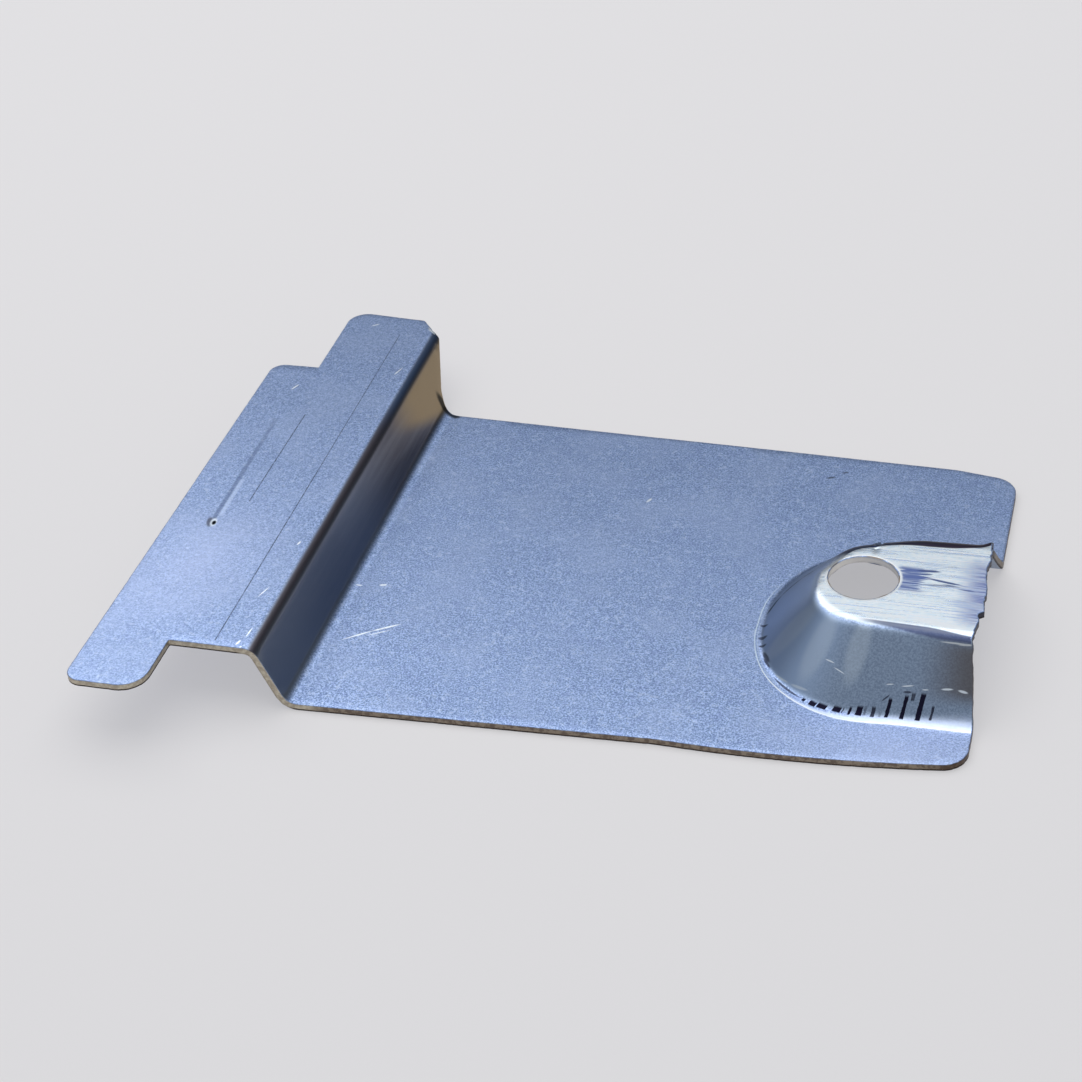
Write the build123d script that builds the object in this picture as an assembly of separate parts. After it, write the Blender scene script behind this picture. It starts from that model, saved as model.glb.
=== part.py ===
from build123d import *
from math import atan2, tan
import os

# Expansion tank bracket: one piece of galvanised sheet steel, cut, folded and drawn in a press.
# The main plate lies flat. At its left end the sheet climbs a steep joggle to a raised flange,
# which carries a tab that is set towards the front. At the right end a hollow boss is drawn up
# to the flange's height, with a round bolt hole in its flat top and a mouth that is open at
# the sheet's end.
# While it is built, x = 0 is the foot of the joggle on the upper face, y = 0 is the plate's
# front edge there, and z = 0 is the underside that the bracket rests on. At the end the
# origin moves to the middle of the footprint.

# Sheet
sheet = 1.0

# Main plate
plate_length = 86.25
plate_width = 69.55
front_edge_taper = 4.0
back_edge_taper = 2.75
front_bulge_length = 38.0
front_bulge_start_set_in = 1.87
front_bulge_from_end = 24.0
front_bulge = 1.1
front_corner_radius = 3.5
back_corner_lead = 8.6
back_corner_drop = 1.3
back_corner_lead_radius = 20.0
back_corner_radius = 3.8

# Joggle
joggle_rise = 8.45
joggle_run = 3.5
foot_bend_inside = 2.0
top_bend_inside = 1.0
relief_foot_reach = 0.35
relief_foot_radius = 4.0
relief_knee_reach = 0.4
relief_knee_drop = 3.45
relief_knee_radius = 0.6
relief_shoulder_reach = 1.1
relief_shoulder_drop = 3.0
relief_top_reach = 3.0

# Raised flange
flange_reach = 18.5
flange_back_step = 12.9
flange_end_growth = 1.0
flange_corner_radius = 3.0
flange_bend_corner_radius = 0.5

# Tab on the flange
tab_reach = 25.65
tab_front_overhang = 9.85
tab_front_inner = 15.0
tab_back_step = 15.7
tab_front_outer_radius = 2.2
tab_front_inner_radius = 3.4
tab_back_radius = 2.2

# Drawn boss
boss_rise = joggle_rise
boss_length = 29.1
boss_foot_width = 35.2
boss_foot_flat = 4.0
boss_front_margin = 6.7
boss_side_run = 8.6
boss_end_run = 7.1
boss_top_flat = 5.0
boss_mouth_growth = 0.9
boss_shoulder_radius = 2.4
boss_foot_radius = 2.0
mouth_pull_in = 0.8

# Bolt hole
hole_radius = 4.5
hole_from_end = 16.3

# Places that follow from the sizes
flange_width = plate_width + flange_back_step
tab_back = flange_width - tab_back_step
boss_foot_half_width = boss_foot_width / 2
boss_top_half_width = boss_foot_half_width - boss_side_run
boss_foot_front = front_edge_taper + boss_front_margin
boss_centre = boss_foot_front + boss_foot_half_width
boss_foot_back = boss_centre + boss_foot_half_width
boss_foot_end = plate_length - boss_length
boss_top_end = boss_foot_end + boss_end_run
hole_x = plate_length - hole_from_end

# Room for tools that cut right through
overcut = 10.0


def nearest(shape, x, y):
    """The vertex of a flat shape that is nearest to (x, y)."""
    return shape.vertices().sort_by_distance((x, y, 0))[0]


def bend_corners():
    """The upper and lower faces' corners at the foot and the top of the joggle, as (x, z)."""
    slope = atan2(joggle_rise, joggle_run)
    setback = sheet * tan(slope / 2)
    return {
        "foot_over": (0, sheet),
        "foot_under": (-setback, 0),
        "top_over": (-joggle_run, sheet + joggle_rise),
        "top_under": (-joggle_run - setback, joggle_rise),
    }


def joggled_sheet():
    """The whole sheet's side profile, drawn along the width with room to spare."""
    corner = bend_corners()
    left = -tab_reach - overcut
    right = plate_length + overcut
    profile = make_face(
        Polyline(
            (right, 0),
            (right, sheet),
            corner["foot_over"],
            corner["top_over"],
            (left, sheet + joggle_rise),
            (left, joggle_rise),
            corner["top_under"],
            corner["foot_under"],
            close=True,
        )
    )
    for name, radius in (
        ("foot_over", foot_bend_inside),
        ("foot_under", foot_bend_inside + sheet),
        ("top_over", top_bend_inside + sheet),
        ("top_under", top_bend_inside),
    ):
        profile = fillet(nearest(profile, *corner[name]), radius)
    front = -tab_front_overhang - overcut
    back = flange_width + flange_end_growth + overcut
    swept = extrude(Plane.XZ * profile, amount=front - back)
    return Pos(0, front, 0) * swept


def boss_section(z, end, half_width, mouth_growth, end_flat, inset):
    """A level cut through the boss: rounded at its closed end, running out past the mouth."""
    far = plate_length + overcut
    far_half_width = half_width + mouth_growth * (far - end) / (plate_length - end)
    outline = make_face(
        Polyline(
            (far, boss_centre - far_half_width),
            (far, boss_centre + far_half_width),
            (end, boss_centre + half_width),
            (end, boss_centre - half_width),
            close=True,
        )
    )
    for side in (1, -1):
        corner = nearest(outline, end, boss_centre + side * half_width)
        outline = fillet(corner, half_width - end_flat / 2)
    if inset:
        outline = offset(outline, amount=-inset)
    return Pos(0, 0, z) * outline


def boss_form(base_z, inset, shoulder_radius):
    """One side of the drawn boss as a solid: sloping walls under a flat, round-shouldered top."""
    foot = boss_section(
        base_z,
        boss_foot_end,
        boss_foot_half_width,
        0,
        boss_foot_flat,
        inset,
    )
    top = boss_section(
        base_z + boss_rise,
        boss_top_end,
        boss_top_half_width,
        boss_mouth_growth,
        boss_top_flat,
        inset,
    )
    form = loft([foot, top], ruled=True)
    rim = form.faces().sort_by(Axis.Z)[-1].edges().sort_by(Axis.X)[:-1]
    return fillet(rim, shoulder_radius)


def wall_inset():
    """How far the hollow's sections lie inside the boss's, so that its wall keeps the gauge."""
    slope = atan2(boss_rise, boss_side_run)
    return sheet * tan(slope / 2)


def foot_edges(shape, z):
    """The edges at height z where the boss's walls meet the plate, without those of the blank."""
    margin = overcut / 2
    return [
        edge
        for edge in shape.edges()
        if abs(edge.center().Z - z) < sheet / 20
        and abs(edge.bounding_box().size.Z) < sheet / 20
        and boss_foot_end - sheet < edge.center().X < plate_length + margin
        and abs(edge.center().Y - boss_centre) < boss_foot_half_width + sheet
    ]


def draw_boss(blank):
    """Push the boss up out of the plate: walls of one gauge that run into the plate in a curve."""
    raised = blank + boss_form(sheet, 0, boss_shoulder_radius)
    raised = fillet(foot_edges(raised, sheet), boss_foot_radius)
    hollow = boss_form(0, wall_inset(), boss_shoulder_radius - sheet)
    drawn = raised - hollow
    return fillet(foot_edges(drawn, 0), boss_foot_radius + sheet)


def blank_outline():
    """The cut outline seen from above, with every corner rounded."""
    front_right = front_edge_taper
    back_right = plate_width - back_edge_taper - back_corner_drop
    lead_x = plate_length - back_corner_lead
    lead_y = plate_width - back_edge_taper * lead_x / plate_length
    flange_back = flange_width + flange_end_growth
    bulge_start = plate_length - front_bulge_length
    bulge_middle = plate_length - front_bulge_from_end
    bulge_middle_y = front_edge_taper * bulge_middle / plate_length - front_bulge
    left = Polyline(
        (bulge_start, front_bulge_start_set_in),
        (0, 0),
        (-tab_front_inner, 0),
        (-tab_front_inner, -tab_front_overhang),
        (-tab_reach, -tab_front_overhang),
        (-tab_reach, tab_back),
        (-flange_reach, tab_back),
        (-flange_reach, flange_back),
        (-joggle_run - relief_top_reach, flange_width),
        (-joggle_run - relief_shoulder_reach, flange_width - relief_shoulder_drop),
        (relief_knee_reach - joggle_run, flange_width - relief_knee_drop),
        (-relief_foot_reach, plate_width),
        (lead_x, lead_y),
        (plate_length, back_right),
        (plate_length, boss_foot_back),
    )
    mouth = ThreePointArc(
        (plate_length, boss_foot_back),
        (plate_length - mouth_pull_in, boss_centre),
        (plate_length, boss_foot_front),
    )
    right = Line((plate_length, boss_foot_front), (plate_length, front_right))
    bulge = Spline(
        (plate_length, front_right),
        (bulge_middle, bulge_middle_y),
        (bulge_start, front_bulge_start_set_in),
    )
    outline = make_face(left + mouth + right + bulge)
    for x, y, radius in (
        (-tab_front_inner, -tab_front_overhang, tab_front_inner_radius),
        (-tab_reach, -tab_front_overhang, tab_front_outer_radius),
        (-tab_reach, tab_back, tab_back_radius),
        (-flange_reach, flange_back, flange_corner_radius),
        (-joggle_run - relief_top_reach, flange_width, flange_bend_corner_radius),
        (relief_knee_reach - joggle_run, flange_width - relief_knee_drop, relief_knee_radius),
        (-relief_foot_reach, plate_width, relief_foot_radius),
        (lead_x, lead_y, back_corner_lead_radius),
        (plate_length, back_right, back_corner_radius),
        (plate_length, front_right, front_corner_radius),
    ):
        outline = fillet(nearest(outline, x, y), radius)
    return outline


def bracket():
    """The finished stamping, standing on its underside with the origin under its middle."""
    drawn = draw_boss(joggled_sheet())
    tall = joggle_rise + boss_rise + 2 * overcut
    cutter = Pos(0, 0, -overcut) * extrude(blank_outline(), amount=tall)
    part = drawn & cutter
    part -= Pos(hole_x, boss_centre, 0) * Cylinder(hole_radius, tall)
    middle = part.bounding_box().center()
    return Pos(-middle.X, -middle.Y, 0) * part


os.makedirs("parts", exist_ok=True)
export_step(bracket(), "parts/bracket.step")
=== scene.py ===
from math import atan2, cos, pi, radians, sin, tan

import bpy
import numpy as np
from mathutils import Matrix, Vector, noise
from mathutils.geometry import delaunay_2d_cdt


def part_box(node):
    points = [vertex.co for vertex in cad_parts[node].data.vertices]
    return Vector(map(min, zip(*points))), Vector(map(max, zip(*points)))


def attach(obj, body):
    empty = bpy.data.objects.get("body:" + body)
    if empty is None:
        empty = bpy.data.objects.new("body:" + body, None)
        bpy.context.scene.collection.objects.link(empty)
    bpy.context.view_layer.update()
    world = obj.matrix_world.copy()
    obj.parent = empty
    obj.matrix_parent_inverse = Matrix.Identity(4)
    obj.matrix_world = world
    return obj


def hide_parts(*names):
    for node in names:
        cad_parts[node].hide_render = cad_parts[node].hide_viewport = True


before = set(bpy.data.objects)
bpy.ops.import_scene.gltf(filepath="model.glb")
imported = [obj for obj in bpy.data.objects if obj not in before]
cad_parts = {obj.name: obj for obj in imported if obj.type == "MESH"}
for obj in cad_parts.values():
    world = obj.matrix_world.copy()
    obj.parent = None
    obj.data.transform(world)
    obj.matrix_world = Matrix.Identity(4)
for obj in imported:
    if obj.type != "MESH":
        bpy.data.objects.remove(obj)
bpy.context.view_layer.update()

MM = 0.001

# Sheet and folds, in millimetres. The joggle's foot is at x = 0, and the plate's front edge
# there is at y = 0.
SHEET = 1.0
PLATE_LENGTH = 86.25
PLATE_WIDTH = 69.55
FRONT_TAPER = 4.0
BACK_TAPER = 2.75
BULGE_START = 48.25
BULGE_START_IN = 1.87
BULGE_MIDDLE = 62.25
BULGE = 1.1
BACK_LEAD = 8.6
BACK_DROP = 1.3
JOGGLE_RISE = 8.45
JOGGLE_RUN = 3.5
JOGGLE_SLOPE = atan2(JOGGLE_RISE, JOGGLE_RUN)
FOOT_BEND = 2.0
HEAD_BEND = 2.0
FOOT_REACH = FOOT_BEND * tan(JOGGLE_SLOPE / 2)
HEAD_REACH = HEAD_BEND * tan(JOGGLE_SLOPE / 2)
HEAD_X = -JOGGLE_RUN - HEAD_REACH
TOP_FACE = SHEET + JOGGLE_RISE
WAVE_HEIGHT = 0.06
FLANGE_REACH = 18.5
FLANGE_BACK = 82.45
FLANGE_END_BACK = 83.45
TAB_REACH = 25.65
TAB_OVERHANG = 9.85
TAB_INNER = 15.0
TAB_BACK = 66.75

# Radii at the corners of the cut outline
TAB_OUTER_RADIUS = 2.2
TAB_INNER_RADIUS = 3.4
SQUARE_RADIUS = 0.12
FRONT_RADIUS = 3.5
BACK_RADIUS = 3.8
BACK_LEAD_RADIUS = 20.0
FLANGE_RADIUS = 3.0
BULGE_STOPS_SHORT = 4.5

# Relief at the back of the joggle: x, y and radius of each corner
RELIEF = (
    (-0.35, PLATE_WIDTH, 4.0),
    (-3.1, FLANGE_BACK - 3.45, 0.6),
    (-4.35, FLANGE_BACK - 2.7, 0),
    (-6.5, FLANGE_BACK, 0.5),
)

# Drawn boss and its hole
BOSS_CENTRE = 28.3
FOOT_END = 57.15
FOOT_HALF = 17.6
FOOT_FLAT = 4.0
TOP_END = 64.25
TOP_HALF = 9.0
TOP_FLAT = 5.0
MOUTH_GROWTH = 0.9
SHOULDER_RADIUS = 2.4
SHARP_FOOT = 1.2
MOUTH_FOOT = 3.8
MOUTH_LAG = 4
MOUTH_SPREAD = 8
RUN_LIMITS = (4.0, 12.0)
HOLE_X = 69.95
HOLE_RADIUS = 4.5

# The tighter turn at the back of the boss's closed end: how far in it cuts and how softly it
# starts, at the foot and at the top, and where along the boss it fades out
BACK_CUT_FOOT = 0.5
BACK_CUT_TOP = 1.6
BACK_CUT_SPREAD_FOOT = 9.0
BACK_CUT_SPREAD_TOP = 4.0
BACK_CUT_END = 77.0
BACK_CUT_FADE = 8.0

# The boss's torn mouth: how far short of the plate's end its lip stops, at each y
TORN_LIP = (
    (10.7, 0.0),
    (13.5, 0.45),
    (17.6, 1.15),
    (19.6, 1.22),
    (21.9, 0.85),
    (23.3, 1.1),
    (23.9, 0.4),
    (26.8, 0.7),
    (28.3, 0.5),
    (31.2, 0.95),
    (33.4, 1.05),
    (35.2, 0.72),
    (38.9, 1.05),
    (42.5, 0.7),
    (45.9, 0.0),
)
SPUR_Y = 38.9
SPUR_RISE = 0.8
SPUR_SPREAD = 0.8
SPUR_LENGTH = 3.2
SPUR_RAMP = 2.2

# Where x = 0, y = 0 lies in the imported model's frame
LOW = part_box("bracket")[0]
DATUM_X = LOW[0] + TAB_REACH * MM
DATUM_Y = LOW[1] + TAB_OVERHANG * MM

# A sheared edge, from the upper face to the lower: how far in from the outline, and how far down
SHEARED_EDGE = (
    (0.18, 0.0),
    (0.10, 0.012),
    (0.04, 0.05),
    (0.01, 0.12),
    (0.0, 0.25),
    (0.012, 0.5),
    (0.03, 0.75),
    (0.0, 0.9),
    (0.02, 0.97),
    (0.18, SHEET),
)

# Spacing of the mesh's points, and the boss levels at which one kind gives way to the next
GRID_STEP = 1.2
TOP_STEP = 0.7
RING_STEP = 0.6
OUTLINE_STEP = 0.5
GRID_BELOW = -0.34
RINGS_BELOW = 1.19
TOP_ABOVE = 1.22
HOLE_POINTS = 96
COLLAR_POINTS = 72
COLLAR_RADII = (5.0, 5.5)
COLLARS_END = 5.9
HOLE_CLEARANCE = 0.25
RIM_CLEARANCE = 0.3

# Lowest and highest level that are told apart, and the small steps that slopes are taken over
LOWEST_LEVEL = -0.6
HIGHEST_LEVEL = 1.55
LEVEL_HALVINGS = 34
LEVEL_STEP = 0.02
SLOPE_STEP = 0.015


def arc_rise(radius, sideways):
    """Height of an arc over its middle at a distance sideways."""
    return np.sqrt(np.maximum(radius**2 - sideways**2, 0))


def fold_height(x):
    """Height of the upper face over the folds, at each x."""
    slope = JOGGLE_SLOPE
    foot_arc = SHEET + FOOT_BEND - arc_rise(FOOT_BEND, x - FOOT_REACH)
    head_arc = TOP_FACE - HEAD_BEND + arc_rise(HEAD_BEND, x - HEAD_X)
    z = np.where(x > FOOT_REACH, SHEET, foot_arc)
    z = np.where(x < -FOOT_REACH * cos(slope), SHEET - x * tan(slope), z)
    z = np.where(x < -JOGGLE_RUN + HEAD_REACH * cos(slope), head_arc, z)
    return np.where(x < HEAD_X, TOP_FACE, z)


def ease(value):
    """A soft step from 0 to 1."""
    share = np.clip(value, 0, 1)
    return share * share * (3 - 2 * share)


def at_level(foot, top, level):
    """A measure of the boss at a level from 0, the foot, to 1, the top."""
    return foot + (top - foot) * level


def boss_plan(level):
    """Half the boss's width, its closed end and the radius of the corners there, at a level."""
    half = at_level(FOOT_HALF, TOP_HALF, level)
    flat = at_level(FOOT_FLAT, TOP_FLAT, level)
    return half, at_level(FOOT_END, TOP_END, level), half - flat / 2


def back_corner_cut(x, y, level):
    """How much tighter the boss turns at the back of its closed end than at the front."""
    height = np.clip(level, 0, 1)
    spread = at_level(BACK_CUT_SPREAD_FOOT, BACK_CUT_SPREAD_TOP, height)
    back = ease((y - BOSS_CENTRE) / spread)
    closed_end = ease((BACK_CUT_END - x) / BACK_CUT_FADE)
    return at_level(BACK_CUT_FOOT, BACK_CUT_TOP, height) * back * closed_end


def outline_gap(x, y, level):
    """Distance inside the boss's outline at a level from 0, the foot, to 1, the top."""
    half, end, radius = boss_plan(level)
    radius = np.maximum(radius, 0.05)
    growth = MOUTH_GROWTH * level * (x - end) / (PLATE_LENGTH - end)
    side = np.abs(y - BOSS_CENTRE)
    along = np.maximum(end + radius - x, 0)
    across = side - (half - radius)
    in_corner = (along > 0) & (across > 0)
    corner_gap = radius - np.hypot(along, np.maximum(across, 0))
    straight_gap = np.minimum(half + np.maximum(growth, 0) - side, x - end)
    return np.where(in_corner, corner_gap, straight_gap) - back_corner_cut(x, y, level)


def boss_level(x, y):
    """Level of the outline through each point: under 0 outside the foot, over 1 inside the top."""
    low = np.full(np.shape(x), LOWEST_LEVEL)
    high = np.full(np.shape(x), HIGHEST_LEVEL)
    for _ in range(LEVEL_HALVINGS):
        middle = (low + high) / 2
        inside = outline_gap(x, y, middle) > 0
        low = np.where(inside, middle, low)
        high = np.where(inside, high, middle)
    return (low + high) / 2


def rounded_step(along, run, foot_radius, shoulder_radius):
    """Height along a straight ramp of this run that has both its corners rounded."""
    slope = np.arctan2(JOGGLE_RISE, run)
    foot = foot_radius * np.tan(slope / 2)
    shoulder = shoulder_radius * np.tan(slope / 2)
    z = along * np.tan(slope)
    foot_z = foot_radius - arc_rise(foot_radius, along + foot)
    z = np.where(along < foot * np.cos(slope), foot_z, z)
    z = np.where(along < -foot, 0, z)
    past = along - run - shoulder
    shoulder_z = JOGGLE_RISE - shoulder_radius + arc_rise(shoulder_radius, past)
    z = np.where(along > run - shoulder * np.cos(slope), shoulder_z, z)
    return np.where(past > 0, JOGGLE_RISE, z)


def foot_radius(x, y):
    """The bend at the boss's foot: sharp round the closed end, gentle in front of the mouth."""
    opening = np.clip((x - FOOT_END - MOUTH_LAG) / (PLATE_LENGTH - FOOT_END - MOUTH_LAG), 0, 1)
    front = np.clip((BOSS_CENTRE - y) / MOUTH_SPREAD, 0, 1)
    return SHARP_FOOT + (MOUTH_FOOT - SHARP_FOOT) * opening**0.8 * front


def boss_height(x, y):
    """How far the upper face is drawn up above the plate, at each point."""
    level = boss_level(x, y)
    step = LEVEL_STEP
    run = (outline_gap(x, y, level - step) - outline_gap(x, y, level + step)) / (2 * step)
    run = np.clip(run, *RUN_LIMITS)
    drawn = rounded_step(level * run, run, foot_radius(x, y), SHOULDER_RADIUS)
    near_end = np.clip((x - PLATE_LENGTH + SPUR_LENGTH) / SPUR_RAMP, 0, 1)
    spur = SPUR_RISE * near_end**2 * np.exp(-(((y - SPUR_Y) / SPUR_SPREAD) ** 2))
    return np.minimum(drawn + spur, JOGGLE_RISE)


def waves(x, y):
    """The sheet's slight unevenness, from 0 to 1."""
    slow = np.sin(x / 7.3 + 1.1) * np.sin(y / 9.1 + 0.4)
    quick = np.sin(x / 3.9 + y / 5.3) * np.sin(x / 6.1 - y / 4.3 + 2.0)
    return 0.5 + 0.32 * slow + 0.18 * quick


def surface_height(x, y):
    """Height of the upper face at each point of the plan, in millimetres."""
    z = fold_height(x) + boss_height(x, y)
    share = (z - SHEET) / JOGGLE_RISE
    wave = waves(x, y)
    return z + WAVE_HEIGHT * (wave * (1 - share) - (1 - wave) * share)


def surface(points):
    """The upper face's places and outward directions at points of the plan."""
    x = points[:, 0]
    y = points[:, 1]
    step = SLOPE_STEP
    z = surface_height(x, y)
    rise_x = (surface_height(x + step, y) - surface_height(x - step, y)) / (2 * step)
    rise_y = (surface_height(x, y + step) - surface_height(x, y - step)) / (2 * step)
    normal = np.stack([-rise_x, -rise_y, np.ones_like(z)], axis=1)
    normal /= np.linalg.norm(normal, axis=1)[:, None]
    return np.stack([x, y, z], axis=1), normal


def rounded_path(corners, spacing):
    """A closed outline through corners (x, y, radius): arcs at the corners, even steps between."""
    path = []
    count = len(corners)
    for i in range(count):
        here = np.array(corners[i][:2], float)
        before = np.array(corners[i - 1][:2], float) - here
        after = np.array(corners[(i + 1) % count][:2], float) - here
        before /= np.linalg.norm(before)
        after /= np.linalg.norm(after)
        radius = corners[i][2]
        if radius == 0:
            path.append(here)
            continue
        half = np.arccos(np.clip(before @ after, -1, 1)) / 2
        centre = here + (before + after) / np.linalg.norm(before + after) * radius / sin(half)
        start = here + before * radius / tan(half) - centre
        finish = here + after * radius / tan(half) - centre
        first = atan2(start[1], start[0])
        turn = (atan2(finish[1], finish[0]) - first + pi) % (2 * pi) - pi
        steps = max(3, int(abs(turn) * radius / spacing * 2) + 2)
        for k in range(steps + 1):
            angle = first + turn * k / steps
            path.append(centre + radius * np.array([cos(angle), sin(angle)]))
    even = []
    for a, b in zip(path, path[1:] + path[:1]):
        parts = max(1, int(np.ceil(np.linalg.norm(b - a) / spacing)))
        for k in range(parts):
            even.append(a + (b - a) * k / parts)
    return np.array(even)


def front_edge(x):
    """The plate's front edge beside the boss, which the draw has pushed out in a shallow bulge."""
    start = np.array([BULGE_START, BULGE_START_IN])
    middle = np.array([BULGE_MIDDLE, FRONT_TAPER * BULGE_MIDDLE / PLATE_LENGTH - BULGE])
    end = np.array([PLATE_LENGTH, FRONT_TAPER])
    slope_in = (middle[1] - start[1]) / (middle[0] - start[0])
    slope_out = (end[1] - middle[1]) / (end[0] - middle[0])
    bend = (slope_out - slope_in) / (end[0] - start[0])
    return start[1] + slope_in * (x - start[0]) + bend * (x - start[0]) * (x - middle[0])


def sheet_outline():
    """The cut outline in the plan, anticlockwise from the tab's front."""
    bulge_end = PLATE_LENGTH - BULGE_STOPS_SHORT
    bulge = [(x, front_edge(x), 0) for x in np.linspace(BULGE_START, bulge_end, 14)]
    lead_x = PLATE_LENGTH - BACK_LEAD
    corners = [
        (-TAB_REACH, -TAB_OVERHANG, TAB_OUTER_RADIUS),
        (-TAB_INNER, -TAB_OVERHANG, TAB_INNER_RADIUS),
        (-TAB_INNER, 0, SQUARE_RADIUS),
        (0, 0, 0),
        *bulge,
        (PLATE_LENGTH, FRONT_TAPER, FRONT_RADIUS),
        (PLATE_LENGTH, BOSS_CENTRE, 0),
        (PLATE_LENGTH, PLATE_WIDTH - BACK_TAPER - BACK_DROP, BACK_RADIUS),
        (lead_x, PLATE_WIDTH - BACK_TAPER * lead_x / PLATE_LENGTH, BACK_LEAD_RADIUS),
        *RELIEF,
        (-FLANGE_REACH, FLANGE_END_BACK, FLANGE_RADIUS),
        (-FLANGE_REACH, TAB_BACK, SQUARE_RADIUS),
        (-TAB_REACH, TAB_BACK, TAB_OUTER_RADIUS),
    ]
    return rounded_path(corners, OUTLINE_STEP)


def wobble(x, y, size, seed):
    """Smooth noise from -1 to 1 with features of this size."""
    return noise.noise(Vector((x / size, y / size, seed)))


def edge_inward(outline, i):
    """Direction into the sheet at one point of an anticlockwise outline."""
    along = outline[(i + 1) % len(outline)] - outline[i - 1]
    along = along / np.linalg.norm(along)
    return np.array([-along[1], along[0]])


def ragged(outline):
    """The outline with the shear's small unevenness and the torn lip of the boss's mouth."""
    worn = outline.copy()
    lip_y = [y for y, _ in TORN_LIP]
    lip_in = [set_in for _, set_in in TORN_LIP]
    for i, (x, y) in enumerate(outline):
        rough = 0.05 * abs(wobble(x, y, 1.3, 3.0)) + 0.05 * abs(wobble(x, y, 0.5, 7.0))
        worn[i] += edge_inward(outline, i) * rough
        if x > PLATE_LENGTH - 0.5 and lip_y[0] < y < lip_y[-1]:
            torn = 0.3 * wobble(y, 0, 0.9, 5.0) * min(1, (y - lip_y[0]) / 3, (lip_y[-1] - y) / 3)
            worn[i][0] = PLATE_LENGTH - max(np.interp(y, lip_y, lip_in) + torn, 0)
    return worn


def inset_loop(loop, amount, inward):
    """A loop moved sideways by amount, with its corners mitred."""
    before = loop - np.roll(loop, 1, axis=0)
    after = np.roll(loop, -1, axis=0) - loop
    before /= np.linalg.norm(before, axis=1)[:, None]
    after /= np.linalg.norm(after, axis=1)[:, None]
    side_before = np.stack([-before[:, 1], before[:, 0]], axis=1) * inward
    side_after = np.stack([-after[:, 1], after[:, 0]], axis=1) * inward
    side = side_before + side_after
    side /= np.linalg.norm(side, axis=1)[:, None]
    stretch = np.maximum((side * side_before).sum(axis=1), 0.6)
    return loop + side * (amount / stretch)[:, None]


def fold_columns():
    """Values of x that follow the folds: close together on the bends, wider on the flats."""
    slope = JOGGLE_SLOPE
    foot_arc = [FOOT_REACH - FOOT_BEND * sin(a) for a in np.linspace(0, slope, 13)]
    head_arc = [HEAD_X + HEAD_BEND * sin(a) for a in np.linspace(slope, 0, 13)]
    ramp = list(np.linspace(foot_arc[-1], head_arc[0], 9)[1:-1])
    flange = list(np.arange(HEAD_X - GRID_STEP, -TAB_REACH, -GRID_STEP))
    plate = list(np.arange(FOOT_REACH + GRID_STEP, PLATE_LENGTH, GRID_STEP))
    return flange[::-1] + (foot_arc + ramp + head_arc)[::-1] + plate


def boss_path(level, spacing):
    """The boss's outline at a level, from the mouth's back round the closed end to its front."""
    half, end, radius = boss_plan(level)
    growth = MOUTH_GROWTH * level
    box = [
        (PLATE_LENGTH, BOSS_CENTRE + half + growth, 0),
        (end, BOSS_CENTRE + half, radius),
        (end, BOSS_CENTRE - half, radius),
        (PLATE_LENGTH, BOSS_CENTRE - half - growth, 0),
    ]
    ring = rounded_path(box, spacing)
    return ring[ring[:, 0] < PLATE_LENGTH - 0.05]


def boss_rings():
    """Points on level lines round the boss, closest where it is bent the most."""
    levels = list(np.linspace(-0.3, 0.3, 25)) + list(np.linspace(0.36, 0.72, 7))
    levels += list(np.arange(0.75, 1.33, 0.03))
    rings = np.concatenate([boss_path(level, RING_STEP) for level in levels])
    return rings[boss_level(rings[:, 0], rings[:, 1]) < RINGS_BELOW]


def far_from(points, loop, distance):
    """The points that keep at least this distance from a dense loop."""
    keep = np.ones(len(points), bool)
    for first in range(0, len(points), 2000):
        block = points[first : first + 2000]
        gaps = np.hypot(block[:, None, 0] - loop[None, :, 0], block[:, None, 1] - loop[None, :, 1])
        keep[first : first + 2000] = gaps.min(axis=1) > distance
    return points[keep]


def points_inside(points, loop):
    """Which points lie inside a closed loop."""
    x = points[:, 0]
    y = points[:, 1]
    inside = np.zeros(len(points), bool)
    for (x0, y0), (x1, y1) in zip(loop, np.roll(loop, -1, axis=0)):
        crosses = (y0 > y) != (y1 > y)
        if y1 != y0:
            inside ^= crosses & (x < (x1 - x0) * (y - y0) / (y1 - y0) + x0)
    return inside


def hole_gap(points):
    """Distance of each point from the hole's middle."""
    return np.hypot(points[:, 0] - HOLE_X, points[:, 1] - BOSS_CENTRE)


def hole_ring(radius, count):
    """Evenly spaced points on a circle round the hole's middle."""
    turn = np.linspace(0, 2 * pi, count + 1)[:-1]
    circle = radius * np.stack([np.cos(turn), np.sin(turn)], axis=1)
    return np.array([HOLE_X, BOSS_CENTRE]) + circle


def inner_points(rim, hole_rim):
    """Every point of the plan inside the outline that the mesh needs."""
    rows = np.arange(-TAB_OVERHANG + GRID_STEP / 2, FLANGE_END_BACK, GRID_STEP)
    grid = np.array([(x, y) for x in fold_columns() for y in rows])
    grid = grid[boss_level(grid[:, 0], grid[:, 1]) < GRID_BELOW]
    top_x = np.arange(TOP_END + 1.6, PLATE_LENGTH, TOP_STEP)
    top_y = np.arange(BOSS_CENTRE - TOP_HALF, BOSS_CENTRE + TOP_HALF, TOP_STEP)
    top = np.array([(x, y) for x in top_x for y in top_y])
    top = top[boss_level(top[:, 0], top[:, 1]) > TOP_ABOVE]
    collars = [hole_ring(radius, COLLAR_POINTS) for radius in COLLAR_RADII]
    around_hole = np.concatenate([top, boss_rings()])
    around_hole = around_hole[hole_gap(around_hole) > COLLARS_END]
    points = np.concatenate([grid, around_hole, *collars])
    points = far_from(points, hole_rim, HOLE_CLEARANCE)
    points = far_from(points, rim, RIM_CLEARANCE)
    return points[points_inside(points, rim)]


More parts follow.
